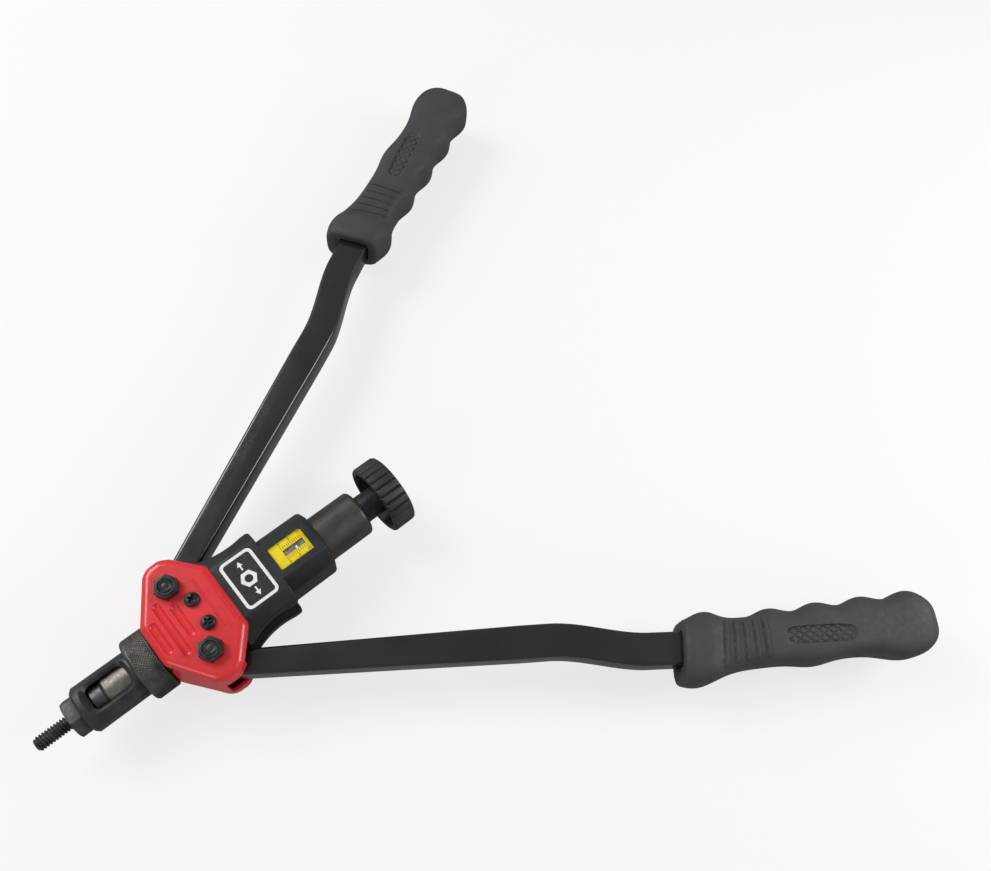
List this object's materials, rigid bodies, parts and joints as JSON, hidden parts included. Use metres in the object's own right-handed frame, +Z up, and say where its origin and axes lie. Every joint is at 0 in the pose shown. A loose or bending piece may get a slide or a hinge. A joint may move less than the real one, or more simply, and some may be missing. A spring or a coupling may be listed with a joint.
{
  "type": "rivet nut setting tool",
  "caption": "Two-handed lever tool that pulls blind rivet nuts: a threaded mandrel in a sleeved nose, long gripped levers in a red head, a stroke scale and a tail knob.",
  "frame": {"origin": "on the tool axis, in the front face of the hex anvil, where the mandrel thread leaves it", "axes": "+X along the tool axis toward the mandrel tip; +Z up, out of the face with the nuts and the stroke scale; +Y toward the lever that stands more open"},
  "size_m": [0.3559, 0.3936, 0.044],
  "materials": {
    "black_casting": "satin black stove enamel on die-cast aluminium",
    "red_enamel": "gloss red enamel on pressed steel",
    "lever_enamel": "satin black enamel on forged steel",
    "phosphated_steel": "dark phosphated, turned",
    "black_oxide": "black oxide fasteners",
    "bare_steel": "bare ground steel",
    "bronze": "plain bearing bronze",
    "grip_rubber": "matt moulded rubber",
    "knob_plastic": "moulded black plastic",
    "scale_yellow": "printed yellow enamel plate"
  },
  "bodies": {
    "casting": {"body_casting": "black_casting", "nose_sleeve": "phosphated_steel", "hex_anvil": "phosphated_steel", "fulcrum_plate": "bare_steel", "scale_plate": "scale_yellow"},
    "lock_ring": {"lock_ring": "phosphated_steel"},
    "draw_carriage": {"draw_block": "bare_steel", "front_yoke_plate": "bare_steel", "rear_yoke_plate": "bare_steel", "yoke_rivets": "bare_steel", "front_cover": "red_enamel", "rear_cover": "red_enamel", "front_cover_screws": "black_oxide", "rear_cover_screws": "black_oxide", "pivot_bolts": "black_oxide", "pivot_nuts": "black_oxide", "pivot_spacers": "bare_steel", "thrust_washer": "bronze"},
    "upper_lever": {"upper_lever": "lever_enamel", "upper_bush": "bronze", "upper_grip": "grip_rubber"},
    "lower_lever": {"lower_lever": "lever_enamel", "lower_bush": "bronze", "lower_grip": "grip_rubber"},
    "spindle": {"spindle": "bare_steel", "chuck": "bare_steel", "chuck_pin": "bare_steel", "chuck_screw": "black_oxide", "mandrel": "phosphated_steel", "thrust_collar": "bare_steel", "collar_pin": "bare_steel", "retaining_ring": "bare_steel", "knob_hub": "black_oxide", "knob": "knob_plastic", "knob_screw": "bare_steel"},
    "stroke_slider": {"stroke_slider": "bare_steel"},
    "stroke_tube": {"stroke_tube": "phosphated_steel"}
  },
  "joints": [
    {"name": "upper_lever_swing", "type": "hinge", "parent": "draw_carriage", "child": "upper_lever", "pos_m": [-0.0584, -0.0162, 0], "axis": [0, 0, -1], "range_deg": [0, 22.5]},
    {"name": "lower_lever_swing", "type": "hinge", "parent": "draw_carriage", "child": "lower_lever", "pos_m": [-0.0584, 0.0162, 0], "axis": [0, 0, 1], "range_deg": [0, 29.8]},
    {"name": "draw_slide", "type": "slide", "parent": "casting", "child": "draw_carriage", "axis": [-1, 0, 0], "range_m": [0, 0.00469]},
    {"name": "spindle_spin", "type": "hinge", "parent": "draw_carriage", "child": "spindle", "pos_m": [0, 0, 0], "axis": [1, 0, 0], "continuous": true},
    {"name": "stroke_slide", "type": "slide", "parent": "casting", "child": "stroke_slider", "axis": [1, 0, 0], "range_m": [-0.0025, 0.0035]},
    {"name": "stroke_turn", "type": "hinge", "parent": "stroke_slider", "child": "stroke_tube", "pos_m": [0, 0, 0], "axis": [1, 0, 0], "range_deg": [-449, 629]},
    {"name": "lock_ring_turn", "type": "hinge", "parent": "casting", "child": "lock_ring", "pos_m": [0, 0, 0], "axis": [1, 0, 0], "range_deg": [-60, 0]}
  ],
  "couplings": [
    {"joint": "lower_lever_swing", "follows": "upper_lever_swing", "ratio": 1.3244},
    {"joint": "draw_slide", "follows": "upper_lever_swing", "m_per_rad": 0.011917},
    {"joint": "stroke_slide", "follows": "stroke_turn", "m_per_rad": 0.00031831}
  ]
}
